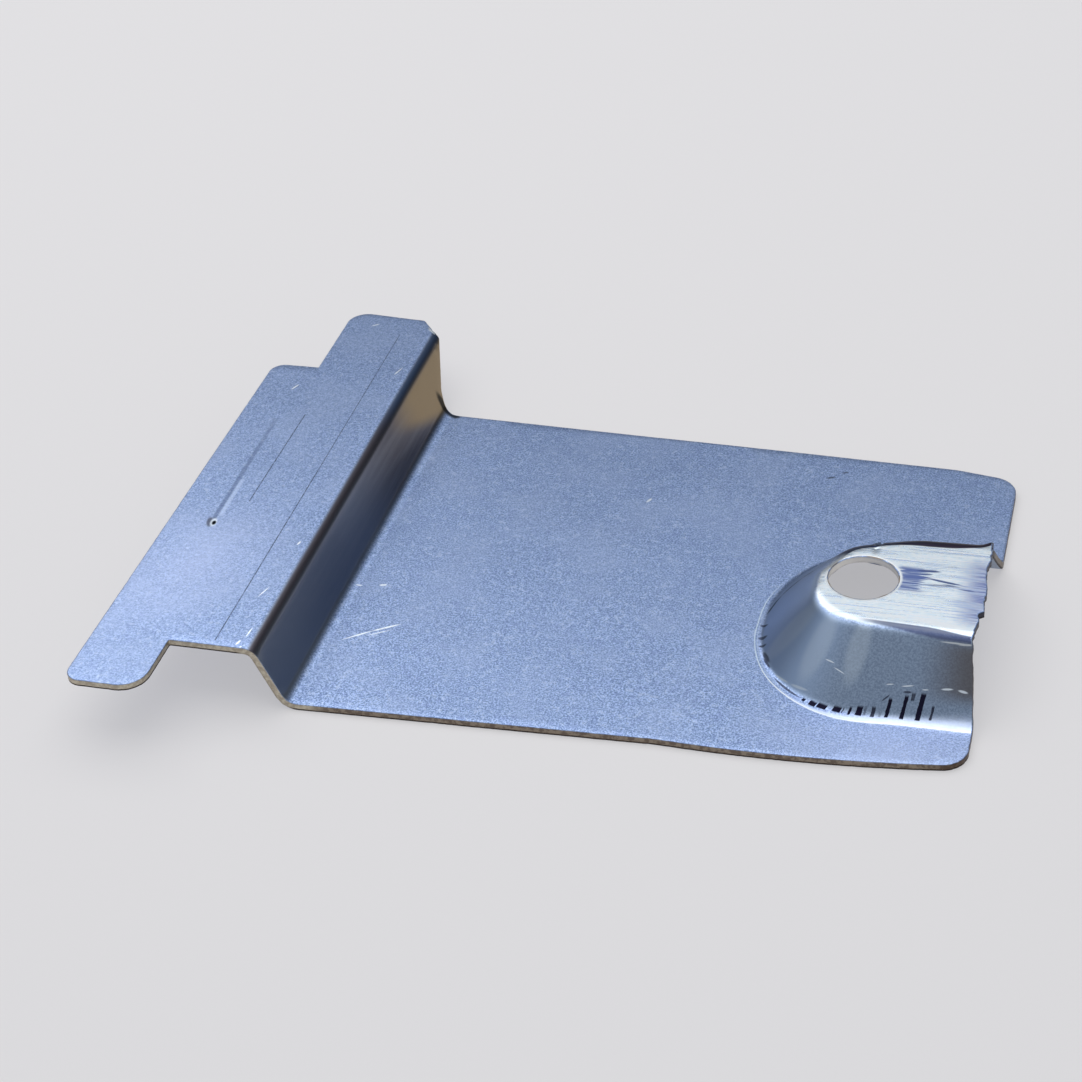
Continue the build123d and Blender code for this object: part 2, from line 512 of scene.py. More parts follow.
def along_foot(points):
    """How far round the boss's foot each point is, in millimetres from the mouth's front."""
    path = boss_path(0, 0.4)[::-1]
    run = np.diff(path, axis=0)
    length = np.linalg.norm(run, axis=1)
    travelled = np.concatenate([[0], np.cumsum(length)])
    result = np.full(len(points), -20.0)
    near = np.nonzero(boss_level(points[:, 0], points[:, 1]) > -0.5)[0]
    for first in range(0, len(near), 1000):
        block = near[first : first + 1000]
        away = points[block][:, None, :] - path[None, :-1, :]
        share = np.clip((away * run).sum(axis=2) / length**2, 0, 1)
        gaps = np.linalg.norm(away - share[:, :, None] * run, axis=2)
        nearest = gaps.argmin(axis=1)
        share = share[np.arange(len(block)), nearest]
        result[block] = travelled[nearest] + share * length[nearest]
    return result


def to_world(places):
    """Millimetres from the joggle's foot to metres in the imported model's frame."""
    moved = places * MM
    moved[:, 0] += DATUM_X
    moved[:, 1] += DATUM_Y
    return moved


def add_attribute(mesh, name, domain, values):
    """Store one number for each vertex or face, for the material to read."""
    made = mesh.attributes.new(name, "FLOAT", domain)
    made.data.foreach_set("value", np.asarray(values, np.float32))


def build_sheet():
    """The whole bracket as one mesh: upper face, lower face and the sheared edges between."""
    outline = ragged(sheet_outline())
    hole = hole_ring(HOLE_RADIUS, HOLE_POINTS)
    rim = inset_loop(outline, SHEARED_EDGE[0][0], 1)
    hole_rim = inset_loop(hole, SHEARED_EDGE[0][0], -1)
    inner = inner_points(rim, hole_rim)
    flat = np.concatenate([rim, hole_rim, inner])
    rim_count = len(rim)
    hole_count = len(hole_rim)
    edges = [(i, (i + 1) % rim_count) for i in range(rim_count)]
    edges += [(rim_count + i, rim_count + (i + 1) % hole_count) for i in range(hole_count)]
    made = delaunay_2d_cdt([Vector(p) for p in flat], edges, [], 0, 1e-6)
    if len(made[0]) != len(flat):
        raise RuntimeError("the plan's points were merged")
    triangles = np.array(made[2])
    middles = flat[triangles].mean(axis=1)
    triangles = triangles[points_inside(middles, rim) & (hole_gap(middles) > HOLE_RADIUS)]
    upper, normal = surface(flat)
    count = len(flat)
    vertices = [upper, upper - normal * SHEET]
    plan = [flat, flat]
    depth = [np.zeros(count), np.ones(count)]
    faces = [tuple(t) for t in triangles] + [tuple(t[::-1] + count) for t in triangles]
    edge_faces = []
    loops = ((outline, 1, 0, rim_count), (hole, -1, rim_count, hole_count))
    base = 2 * count
    for loop, inward, start, length in loops:
        rows = [np.arange(length) + start]
        for inset, down in SHEARED_EDGE[1:-1]:
            row = inset_loop(loop, inset, inward)
            place, out = surface(row)
            vertices.append(place - out * down)
            plan.append(row)
            depth.append(np.full(length, down / SHEET))
            rows.append(np.arange(length) + base)
            base += length
        rows.append(np.arange(length) + start + count)
        for high, low in zip(rows, rows[1:]):
            for i in range(length):
                j = (i + 1) % length
                quad = (high[i], low[i], low[j], high[j])
                edge_faces.append(quad if inward == 1 else quad[::-1])
    mesh = bpy.data.meshes.new("bracket_sheet")
    every = [tuple(int(k) for k in f) for f in faces + edge_faces]
    mesh.from_pydata(to_world(np.concatenate(vertices)).tolist(), [], every)
    mesh.update()
    mesh.shade_smooth()
    plan = np.concatenate(plan)
    add_attribute(mesh, "level", "POINT", boss_level(plan[:, 0], plan[:, 1]))
    add_attribute(mesh, "around", "POINT", along_foot(plan))
    add_attribute(mesh, "depth", "POINT", np.concatenate(depth))
    cut = np.zeros(len(every))
    cut[len(faces) :] = 1
    add_attribute(mesh, "cut", "FACE", cut)
    under = np.zeros(len(every))
    under[len(triangles) : len(faces)] = 1
    add_attribute(mesh, "under", "FACE", under)
    return bpy.data.objects.new("bracket_sheet", mesh)


class Graph:
    """Short calls for the shader nodes of a material or of the world."""

    def __init__(self, owner):
        owner.use_nodes = True
        self.owner = owner
        self.tree = owner.node_tree
        self.shader = self.tree.nodes.get("Principled BSDF")

    def put(self, socket, value):
        if isinstance(value, bpy.types.NodeSocket):
            self.tree.links.new(value, socket)
        else:
            socket.default_value = value

    def math(self, operation, *values, clamp=False):
        node = self.tree.nodes.new("ShaderNodeMath")
        node.operation = operation
        node.use_clamp = clamp
        for socket, value in zip(node.inputs, values):
            self.put(socket, value)
        return node.outputs[0]

    def vector(self, operation, *values):
        node = self.tree.nodes.new("ShaderNodeVectorMath")
        node.operation = operation
        for socket, value in zip(node.inputs, values):
            self.put(socket, value)
        return node.outputs["Value" if operation in ("DOT_PRODUCT", "LENGTH") else "Vector"]

    def scaled(self, place, factors):
        return self.vector("MULTIPLY", place, factors)

    def noise(self, place, scale, detail=2.0, roughness=0.5):
        node = self.tree.nodes.new("ShaderNodeTexNoise")
        self.put(node.inputs["Vector"], place)
        node.inputs["Scale"].default_value = scale
        node.inputs["Detail"].default_value = detail
        node.inputs["Roughness"].default_value = roughness
        return node.outputs["Fac"]

    def smooth(self, value, low, high, start=0.0, finish=1.0):
        """A soft step from start, below low, to finish, above high."""
        node = self.tree.nodes.new("ShaderNodeMapRange")
        node.interpolation_type = "SMOOTHSTEP"
        self.put(node.inputs["Value"], value)
        self.put(node.inputs["From Min"], low)
        self.put(node.inputs["From Max"], high)
        node.inputs["To Min"].default_value = start
        node.inputs["To Max"].default_value = finish
        return node.outputs["Result"]

    def fade(self, value, low, high):
        """1 below low, 0 above high."""
        return self.math("SUBTRACT", 1.0, self.smooth(value, low, high))

    def window(self, value, low, high, soft):
        """1 between low and high, which are plain numbers."""
        above = self.smooth(value, low - soft, low + soft)
        return self.times(above, self.fade(value, high - soft, high + soft))

    def times(self, *values):
        result = values[0]
        for value in values[1:]:
            result = self.math("MULTIPLY", result, value)
        return result

    def mix(self, amount, first, second):
        node = self.tree.nodes.new("ShaderNodeMix")
        node.data_type = "RGBA"
        self.put(node.inputs[0], amount)
        self.put(node.inputs[6], first)
        self.put(node.inputs[7], second)
        return node.outputs[2]

    def blend(self, amount, first, second):
        node = self.tree.nodes.new("ShaderNodeMix")
        node.data_type = "FLOAT"
        self.put(node.inputs[0], amount)
        self.put(node.inputs[2], first)
        self.put(node.inputs[3], second)
        return node.outputs[0]

    def attribute(self, name):
        node = self.tree.nodes.new("ShaderNodeAttribute")
        node.attribute_name = name
        return node.outputs["Fac"]

    def stroke(self, plan, start, end, width, soft):
        """A line from start to end, as a mask that is 1 on the line."""
        run = (end[0] - start[0], end[1] - start[1], 0)
        from_start = self.vector("SUBTRACT", plan, (start[0], start[1], 0))
        along = self.vector("DOT_PRODUCT", from_start, run)
        along = self.math("DIVIDE", along, run[0] ** 2 + run[1] ** 2, clamp=True)
        nearest = self.tree.nodes.new("ShaderNodeVectorMath")
        nearest.operation = "SCALE"
        nearest.inputs[0].default_value = run
        self.put(nearest.inputs["Scale"], along)
        gap = self.vector("LENGTH", self.vector("SUBTRACT", from_start, nearest.outputs["Vector"]))
        return self.fade(gap, width, width + soft)

    def dash(self, plan, start, end, width, soft):
        """A short tapered line from start to end: 1 in its middle, 0 at its rim."""
        mapping = self.tree.nodes.new("ShaderNodeMapping")
        mapping.vector_type = "TEXTURE"
        long_way = (end[0] - start[0], end[1] - start[1])
        half = (long_way[0] ** 2 + long_way[1] ** 2) ** 0.5 / 2
        middle = ((start[0] + end[0]) / 2, (start[1] + end[1]) / 2, 0)
        mapping.inputs["Location"].default_value = middle
        mapping.inputs["Rotation"].default_value = (0, 0, atan2(long_way[1], long_way[0]))
        mapping.inputs["Scale"].default_value = (half + width + soft / 2, width + soft * 0.8, 1)
        self.put(mapping.inputs["Vector"], plan)
        gradient = self.tree.nodes.new("ShaderNodeTexGradient")
        gradient.gradient_type = "SPHERICAL"
        self.put(gradient.inputs["Vector"], mapping.outputs["Vector"])
        return gradient.outputs["Fac"]

    def strongest(self, masks):
        result = masks[0]
        for mask in masks[1:]:
            result = self.math("MAXIMUM", result, mask)
        return result


def rgb(red, green, blue):
    """A colour from 0 to 255 as the screen shows it, for a shader socket."""
    values = []
    for part in (red, green, blue):
        part /= 255
        values.append(part / 12.92 if part <= 0.04045 else ((part + 0.055) / 1.055) ** 2.4)
    return (*values, 1.0)


# What lies on the sheet, in the same millimetres. Each row is a start, an end, a half width and
# a softness. First the broad pale zones, which are painted light, then the marks, among them
# painted highlights and painted shade.
PAINTED_LIGHT_ZONES = (
    ((-21.0, 6.0), (-15.0, 26.0), 2.0, 12.0),
    ((66.0, 5.0), (90.0, 6.0), 3.0, 13.0),
)
# Painted shadow in the corner where the joggle's back edge meets the plate
JOGGLE_CORNER_SHADOW = ((-0.6, 70.3), (1.8, 69.3), 0.4, 0.6)
SCRATCHES_AND_HIGHLIGHT = (
    ((2.5, 13.8), (6.6, 16.8), 0.06, 0.16),
    ((5.6, 16.1), (9.7, 18.7), 0.08, 0.16),
    ((5.4, 15.2), (8.9, 17.3), 0.0, 0.12),
    ((0.6, 25.8), (1.4, 25.9), 0.06, 0.15),
    ((3.9, 26.4), (4.7, 26.6), 0.12, 0.2),
    ((35.5, 51.8), (36.0, 52.8), 0.10, 0.2),
    ((-5.3, 2.2), (-5.1, 4.4), 0.03, 0.14),
    ((-6.0, 0.6), (-5.7, 1.5), 0.06, 0.16),
    ((-6.9, 10.4), (-6.0, 13.2), 0.0, 0.13),
    ((-5.7, 22.6), (-5.5, 23.4), 0.06, 0.16),
    ((-6.3, 66.2), (-5.6, 68.6), 0.03, 0.16),
    ((-20.4, 60.0), (-19.7, 61.6), 0.05, 0.16),
    ((-14.3, 79.6), (-13.2, 80.4), 0.05, 0.16),
    # Painted highlight on the relief's upper corner, at the joggle's back end
    ((-5.2, 80.5), (-3.9, 79.1), 0.1, 0.5),
    ((-5.4, 0.1), (-5.1, 0.35), 0.03, 0.12),
)
DARK_NICKS = (
    ((59.7, 61.9), (60.7, 62.4), 0.1, 0.25),
    ((61.6, 63.5), (62.4, 63.9), 0.06, 0.2),
)
SCORED_LINES = (
    ((-15.9, 53.7), (-16.0, 31.3), 0.02, 0.11),
    ((-9.1, 77.6), (-9.0, 40.0), 0.0, 0.11),
    ((-9.0, 40.0), (-9.0, 1.0), 0.02, 0.11),
)
GROOVE = ((-19.75, 51.9), (-19.4, 26.9), 0.14, 0.34)
# Painted highlight along the groove's rim; painted shade in the pit and on its left rim, and a
# painted highlight on its right lip
GROOVE_RIM_HIGHLIGHT = ((-18.9, 36.0), (-18.75, 27.6), 0.1, 0.4)
PIT_RIM_SHADE = ((-19.9, 26.6), (-19.4, 24.7), 0.2, 0.5)
PIT_LIP_HIGHLIGHT = ((-19.2, 26.4), (-19.0, 24.9), 0.25, 0.45)
PIT_SHADE = ((-19.05, 25.9), (-18.95, 25.2), 0.14, 0.3)
FLANK_SCRATCHES = (
    ((67.0, 16.1), (68.4, 15.5), 0.0, 0.1),
    ((68.2, 15.2), (69.9, 14.4), 0.0, 0.08),
    ((75.0, 13.75), (76.1, 13.85), 0.0, 0.08),
    ((76.9, 13.7), (78.6, 13.9), 0.0, 0.1),
    ((79.5, 13.6), (80.4, 13.65), 0.0, 0.08),
    ((81.8, 13.8), (83.4, 13.9), 0.02, 0.12),
    ((83.9, 13.85), (85.2, 13.7), 0.03, 0.14),
)
FLANK_HIGHLIGHT_BANDS = (
    ((58.5, 19.8), (65.0, 22.2), 0.1, 2.4),
    ((64.4, 15.0), (67.4, 20.0), 0.1, 2.4),
    ((70.3, 13.8), (71.8, 19.3), 0.1, 2.0),
)
CREST_HIGHLIGHTS = (
    ((76.5, 21.0), (84.9, 19.6), 0.2, 0.6),
    ((70.0, 20.9), (77.5, 20.9), 0.0, 0.5),
)
MOUTH_CREASE_HIGHLIGHTS = (
    ((80.8, 17.85), (85.0, 17.75), 0.0, 0.12),
    ((83.2, 17.7), (85.3, 17.75), 0.02, 0.12),
)
TOP_STREAKS = (
    ((76.4, 31.0), (79.6, 31.1), 0.1, 0.3),
    ((76.9, 30.3), (78.6, 30.35), 0.05, 0.25),
    ((77.3, 29.6), (83.6, 28.4), 0.06, 0.25),
    ((79.8, 28.6), (84.6, 27.5), 0.1, 0.3),
    ((77.4, 28.1), (81.6, 28.1), 0.15, 0.3),
    ((79.9, 32.3), (81.6, 32.5), 0.02, 0.2),
    ((81.4, 25.6), (85.4, 25.0), 0.03, 0.2),
)

# Marks and painted shade round the boss's foot: how far round from the mouth's front, and how far
# up the wall
FOOT_MARKS_AND_SHADE_LINES = (
    ((27.6, -0.3), (21.2, -0.2), 0.10, 0.16),
    ((38.0, -0.5), (37.3, 0.8), 0.14, 0.2),
    ((35.3, -0.4), (34.6, 0.9), 0.22, 0.2),
    ((33.6, -0.4), (33.1, 0.7), 0.12, 0.2),
    ((32.2, 0.1), (29.6, 0.35), 0.12, 0.35),
    ((31.2, -0.1), (28.6, 0.1), 0.0, 0.3),
    ((11.2, 1.6), (10.1, 2.4), 0.0, 0.14),
    ((8.6, 2.75), (7.5, 2.8), 0.06, 0.1),
    # The last three are painted shade: the dark line along the wall's outline at the back of the
    # closed end.
    ((40.2, -0.1), (43.6, 1.5), 0.08, 0.35),
    ((43.2, 1.3), (46.4, 3.4), 0.1, 0.4),
    ((46.3, 3.0), (46.5, 5.2), 0.1, 0.4),
)
FOOT_PALE_LINES = (
    ((27.5, 0.1), (24.5, 0.52), 0.04, 0.14),
    ((24.4, 0.52), (21.2, 0.95), 0.05, 0.16),
)

# Stretch marks across the foot: start, finish, lowest and highest boss level, strength
STRETCH_MARKS = (
    (4.70, 5.02, 0.04, 0.22, 0.9),
    (6.25, 6.78, 0.02, 0.345, 1.0),
    (7.40, 7.95, 0.24, 0.335, 0.8),
    (8.20, 8.70, 0.015, 0.30, 1.0),
    (10.10, 10.55, 0.015, 0.25, 1.0),
    (11.00, 11.40, 0.01, 0.09, 0.4),
    (11.85, 12.22, 0.0, 0.14, 0.9),
    (12.95, 13.15, 0.01, 0.135, 0.5),
    (13.42, 14.15, 0.0, 0.13, 1.0),
    (14.72, 15.10, -0.015, 0.105, 1.0),
    (15.70, 15.90, -0.015, 0.085, 0.8),
    (16.05, 17.05, -0.015, 0.08, 1.0),
    (17.92, 19.10, -0.04, 0.055, 1.0),
    (19.35, 20.30, -0.06, 0.04, 1.0),
    (20.85, 21.35, -0.05, 0.02, 1.0),
)
MARKS_REACH = 40.0
MARKS_SLANT = 1.6
LEVEL_RUN = 8.6


def coordinates(g):
    """The surface point in millimetres from the joggle's foot."""
    source = g.tree.nodes.new("ShaderNodeTexCoord")
    mapping = g.tree.nodes.new("ShaderNodeMapping")
    mapping.inputs["Location"].default_value = (-DATUM_X / MM, -DATUM_Y / MM, 0)
    mapping.inputs["Scale"].default_value = (1 / MM, 1 / MM, 1 / MM)
    g.put(mapping.inputs["Vector"], source.outputs["Object"])
    return mapping.outputs["Vector"]


class Look:
    """What the material has so far: its colour, roughness and relief."""

    def __init__(self, g):
        self.g = g
        self.place = coordinates(g)
        split = g.tree.nodes.new("ShaderNodeSeparateXYZ")
        g.put(split.inputs[0], self.place)
        self.x, self.y, self.z = split.outputs
        self.plan = g.scaled(self.place, (1, 1, 0))
        self.level = g.attribute("level")
        self.around = g.attribute("around")
        self.depth = g.attribute("depth")
        self.cut = g.attribute("cut")
        self.under = g.attribute("under")
        self.upper = g.times(g.math("SUBTRACT", 1.0, self.cut), g.math("SUBTRACT", 1.0, self.under))
        hole_middle = (HOLE_X, BOSS_CENTRE, 0)
        self.hole_gap = g.vector("LENGTH", g.vector("SUBTRACT", self.plan, hole_middle))

    def paint(self, mask, colour=None, roughness=None, height=None):
        if colour is not None:
            self.colour = self.g.mix(mask, self.colour, colour)
        if roughness is not None:
            self.roughness = self.g.blend(mask, self.roughness, roughness)
        if height is not None:
            self.height = self.g.math("ADD", self.height, self.g.times(mask, height))

    def strokes(self, marks):
        lines = self.g.strongest([self.g.stroke(self.plan, *mark) for mark in marks])
        return self.g.times(lines, self.upper)

    def dashes(self, marks, plane=None):
        plane = self.plan if plane is None else plane
        lines = self.g.strongest([self.g.dash(plane, *mark) for mark in marks])
        return self.g.times(self.g.smooth(lines, 0.0, 0.5), self.upper)


def zinc_grain(look):
    """The coat's fine grain, which is crisper towards the front, with slow clouds under it."""
    g = look.g
    look.fine = g.noise(look.place, 4.0, 3.0, 0.75)
    look.speck = g.noise(look.place, 1.5, 2.0, 0.6)
    look.along_x = g.noise(g.scaled(look.place, (0.1, 3.6, 1.0)), 1.0, 2.0, 0.6)
    look.along_y = g.noise(g.scaled(look.place, (1.2, 0.06, 1.2)), 1.0, 2.0, 0.6)
    clouds = g.noise(look.place, 0.11, 2.0, 0.5)
    reach = g.blend(g.smooth(look.y, 4.0, 46.0), 0.14, 0.2)
    reach = g.blend(g.fade(look.x, -9.0, -2.0), reach, 0.26)
    look.sparkle = g.smooth(look.fine, g.math("SUBTRACT", 0.5, reach), g.math("ADD", 0.5, reach))
    colour = g.mix(look.sparkle, rgb(107, 127, 165), rgb(185, 203, 240))
    colour = g.mix(g.times(g.smooth(look.speck, 0.56, 0.7), 0.35), colour, rgb(214, 224, 246))
    colour = g.mix(g.times(g.smooth(look.speck, 0.48, 0.34), 0.3), colour, rgb(124, 136, 186))
    colour = g.mix(g.times(g.smooth(clouds, 0.42, 0.66), 0.3), colour, rgb(170, 184, 216))
    # Painted light: pale patches on the flange's low front and the plate's front right corner,
    # where the sheet looks brighter.
    pale = g.strongest([g.dash(look.plan, *zone) for zone in PAINTED_LIGHT_ZONES])
    look.colour = g.mix(g.times(pale, 0.35), colour, rgb(206, 214, 246))
    rough = g.math("MULTIPLY_ADD", look.speck, 0.1, 0.34)
    look.roughness = g.math("MULTIPLY_ADD", look.sparkle, -0.06, rough)
    look.height = look.fine


def joggle_painted_shade(look):
    """The joggle's face is painted dark as shade, darkest towards its back end, with a painted
    brown reflection there, painted shade along the upper bend and a painted shadow in the corner at
    its foot.
    """
    g = look.g
    # Painted shade: the face is made darker than the coat, darkest towards the back end.
    face = g.times(g.window(look.x, -4.2, 0.25, 0.35), g.smooth(look.z, SHEET + 0.1, SHEET + 1.0))
    slate = g.mix(g.smooth(look.y, 0.0, 26.0), rgb(152, 158, 170), rgb(122, 131, 150))
    slate = g.mix(g.smooth(look.y, 32.0, 54.0), slate, rgb(88, 88, 98))
    slate = g.mix(g.times(g.smooth(look.along_y, 0.35, 0.7), 0.14), slate, rgb(150, 156, 168))
    look.paint(face, slate, 0.28)
    # Painted reflection: a brown cast over the face's back end.
    brown_floor = g.math("MULTIPLY_ADD", look.y, -0.385, 28.0)
    above = g.smooth(g.math("SUBTRACT", look.z, brown_floor), -1.4, 1.0)
    brown = g.times(above, g.smooth(look.y, 52.0, 64.0), face, g.smooth(look.x, -3.9, -3.1))
    look.paint(g.times(brown, 0.9), rgb(158, 138, 106), 0.34)
    # Painted shade: a dark band along the upper bend.
    bend = g.times(g.window(look.x, -4.2, -3.2, 0.35), face)
    look.paint(bend, g.mix(g.smooth(look.y, 48.0, 62.0), rgb(92, 86, 92), rgb(76, 90, 116)), 0.3)
    # Painted shadow in the corner at the joggle's back foot.
    corner = look.strokes((JOGGLE_CORNER_SHADOW,))
    look.paint(g.times(corner, 0.9), rgb(26, 24, 18), 0.5)


def drawn_wall(look):
    """The boss's wall, drawn smooth and grey, with painted highlight bands and a warm end at the
    mouth.
    """
    g = look.g
    wall = g.window(g.math("MULTIPLY_ADD", look.speck, 0.03, look.level), 0.03, 1.0, 0.035)
    grey = g.mix(g.times(look.sparkle, 0.8), rgb(130, 143, 164), rgb(164, 178, 198))
    grey = g.mix(g.window(look.around, 21.0, 43.0, 5.0), grey, rgb(166, 184, 212))
    look.paint(wall, grey, 0.38)
    # Painted highlights: soft pale bands across the wall.
    bands = look.dashes(FLANK_HIGHLIGHT_BANDS)
    look.paint(g.times(bands, wall, 0.3), rgb(214, 222, 230), 0.42)
    mouth = g.times(g.fade(look.around, 0.5, 8.0), g.window(look.level, 0.3, 0.92, 0.12), wall)
    look.paint(g.times(mouth, 0.8), rgb(102, 92, 86))
    look.paint(g.times(look.dashes(FLANK_SCRATCHES), 0.9), rgb(250, 252, 255), 0.3)


def rubbed_top(look):
    """The boss's flat top, rubbed bright along its length, with a dull patch beside the hole."""
    g = look.g
    streak = look.along_x
    ragged = g.math("MULTIPLY_ADD", streak, 0.05, look.level)
    top = g.times(g.smooth(ragged, 1.0, 1.08), look.upper)
    tone = g.mix(g.smooth(look.speck, 0.35, 0.65), rgb(238, 248, 255), rgb(252, 255, 255))
    tone = g.mix(g.times(g.smooth(streak, 0.55, 0.68), 0.6), tone, rgb(186, 204, 246))
    tone = g.mix(g.times(g.smooth(streak, 0.46, 0.34), 0.8), tone, rgb(255, 253, 255))
    look.paint(top, tone, g.blend(g.smooth(streak, 0.35, 0.65), 0.36, 0.26))
    shifted = g.math("MULTIPLY_ADD", streak, 5.0, look.x)
    patch = g.times(g.window(shifted, 76.6, 79.9, 0.5), g.window(look.y, 26.5, 31.5, 0.4), top)
    look.paint(g.times(patch, g.smooth(streak, 0.72, 0.48)), rgb(108, 124, 176), 0.4)
    look.paint(g.times(look.dashes(TOP_STREAKS), g.smooth(streak, 0.62, 0.48)), rgb(88, 102, 148))
    near_lip = g.times(g.smooth(shifted, 83.6, 87.4), g.window(look.y, 21.0, 34.0, 1.6), top)
    near_lip = g.times(near_lip, g.blend(g.smooth(streak, 0.36, 0.6), 1.0, 0.4))
    look.paint(near_lip, rgb(112, 124, 184), 0.4)
    bright_ring = g.fade(look.hole_gap, HOLE_RADIUS + 0.3, HOLE_RADIUS + 0.6)
    look.paint(g.times(bright_ring, top), rgb(255, 255, 255), 0.3)
    brown_ring = g.fade(look.hole_gap, HOLE_RADIUS + 0.1, HOLE_RADIUS + 0.2)
    look.paint(g.times(brown_ring, look.upper), rgb(150, 128, 108))


def drawn_shoulder(look):
    """The shoulders: a painted white highlight on the crest and a band of painted shade in front, a
    painted highlight on a crease at the mouth, and a dark line of painted shade along the back.
    """
    g = look.g
    # Painted highlight: a white line along the front shoulder's crest.
    look.paint(look.dashes(CREST_HIGHLIGHTS), rgb(255, 255, 255), 0.3)
    # Painted shade: a dark purple band below the crest in front, widest near the mouth.
    low = g.math("MULTIPLY_ADD", g.smooth(look.around, 4.0, 15.0), 0.11, 0.9)
    high = g.math("MULTIPLY_ADD", g.fade(look.around, 0.5, 7.0), -0.075, 1.085)
    band = g.smooth(look.level, low, g.math("ADD", low, 0.05))
    band = g.times(band, g.fade(look.level, high, g.math("ADD", high, 0.03)))
    band = g.times(band, g.fade(look.around, 11.0, 22.0), look.upper)
    look.paint(g.times(band, 0.85), rgb(66, 72, 104), 0.4)
    # Painted highlight on the crease below the dark band, at the mouth.
    look.paint(g.times(look.dashes(MOUTH_CREASE_HIGHLIGHTS), 0.65), rgb(240, 238, 234), 0.3)
    # Painted shade: a dark line along the back shoulder, above the back wall.
    behind = g.math("MULTIPLY_ADD", g.window(look.around, 68.0, 76.0, 3.0), 0.09, 1.08)
    behind = g.math("MULTIPLY_ADD", g.smooth(look.around, 77.0, 79.6), -0.13, behind)
    line = g.fade(look.level, behind, g.math("ADD", behind, 0.03))
    line = g.times(line, g.smooth(look.level, 0.86, 0.95), g.smooth(look.around, 44.0, 50.0))
    line = g.times(line, g.fade(look.around, 78.5, 79.2), look.upper)
    tone = g.mix(g.smooth(look.around, 58.0, 74.0), rgb(52, 62, 90), rgb(62, 52, 68))
    look.paint(line, tone, 0.4)


def foot_of_draw(look):
    """A painted highlight along the crease where the draw leaves the plate, a broader painted
    highlight on the bend above it and a fainter second one, dark marks and painted shade round the
    foot, and the stretch marks that cross it.
    """
    g = look.g
    level = g.math("MULTIPLY_ADD", look.speck, 0.014, look.level)
    far = g.smooth(look.around, 7.0, 20.0)
    centre = g.math("MULTIPLY_ADD", far, -0.072, -0.062)
    centre = g.math("MULTIPLY_ADD", g.smooth(look.around, 25.0, 35.0), 0.024, centre)
    round_end = g.fade(look.around, 42.0, 49.0)
    mouth_rise = g.times(g.fade(look.around, 0.0, 8.0), 0.12)
    rise = g.math("ADD", g.times(g.fade(look.around, 9.0, 24.0), 0.11), mouth_rise)
    half = g.blend(g.smooth(look.around, 8.0, 24.0), 0.026, 0.015)
    bottom = g.math("SUBTRACT", centre, half)
    rim = g.math("ADD", centre, half)
    top = g.math("ADD", rim, rise)
    # Painted highlight: a pale band over the foot's bend, widest at the mouth.
    foot_bend_highlight = g.times(g.smooth(level, bottom, rim), g.fade(level, rim, g.math("ADD", top, 0.03)))
    foot_bend_highlight = g.times(foot_bend_highlight, g.fade(look.around, 20.0, 28.0), look.upper)
    look.paint(foot_bend_highlight, g.mix(look.speck, rgb(204, 214, 250), rgb(240, 246, 255)), 0.36)
    # Painted highlight: a white line along the crease at the foot.
    line = g.smooth(level, g.math("SUBTRACT", bottom, 0.008), centre)
    line = g.times(line, g.fade(level, centre, rim), round_end, look.upper)
    tone = g.mix(g.smooth(look.around, 22.0, 34.0), rgb(255, 255, 255), rgb(214, 226, 236))
    look.paint(line, tone, 0.3)
    # Painted highlight: a fainter second line just above it, round the closed end.
    second = g.window(g.math("SUBTRACT", level, centre), 0.045, 0.053, 0.007)
    second = g.times(second, g.window(look.around, 25.0, 41.0, 2.5), look.upper, 0.7)
    look.paint(second, rgb(200, 210, 222))
    flat = g.tree.nodes.new("ShaderNodeCombineXYZ")
    g.put(flat.inputs["X"], look.around)
    g.put(flat.inputs["Y"], g.math("MULTIPLY", look.level, LEVEL_RUN))
    # Dark marks round the foot; the last three rows are painted shade along the wall's outline.
    look.paint(g.times(look.dashes(FOOT_MARKS_AND_SHADE_LINES, flat.outputs[0]), 0.8), rgb(44, 44, 62), 0.5)
    look.paint(g.times(look.dashes(FOOT_PALE_LINES, flat.outputs[0]), 0.8), rgb(206, 214, 224))
    marks = stretch_marks(g, level, look.around, look.speck)
    look.paint(g.times(marks, look.upper), rgb(30, 28, 46), 0.5)


def stretch_marks(g, level, around, ragged):
    """Dark slanting ticks: one ramp holds each tick's strength, lowest level and highest level."""
    slanted = g.math("MULTIPLY_ADD", level, MARKS_SLANT, around)
    slanted = g.math("MULTIPLY_ADD", ragged, 0.2, slanted)
    ramp = g.tree.nodes.new("ShaderNodeValToRGB")
    ramp.color_ramp.interpolation = "CONSTANT"
    g.put(ramp.inputs[0], g.math("DIVIDE", g.math("SUBTRACT", slanted, 0.1), MARKS_REACH))
    stops = ramp.color_ramp.elements
    stops[0].color = (0, 0, 0, 1)
    stops.remove(stops[1])
    for start, finish, lowest, highest, strength in STRETCH_MARKS:
        stops.new(start / MARKS_REACH).color = (strength, lowest + 0.5, highest + 0.5, 1)
        stops.new(finish / MARKS_REACH).color = (0, lowest + 0.5, highest + 0.5, 1)
    split = g.tree.nodes.new("ShaderNodeSeparateColor")
    g.put(split.inputs[0], ramp.outputs["Color"])
    strength, lowest, highest = split.outputs
    raised = g.math("ADD", level, 0.5)
    above = g.smooth(g.math("SUBTRACT", raised, lowest), -0.006, 0.012)
    below = g.smooth(g.math("SUBTRACT", highest, raised), -0.01, 0.03)
    return g.times(strength, above, below)


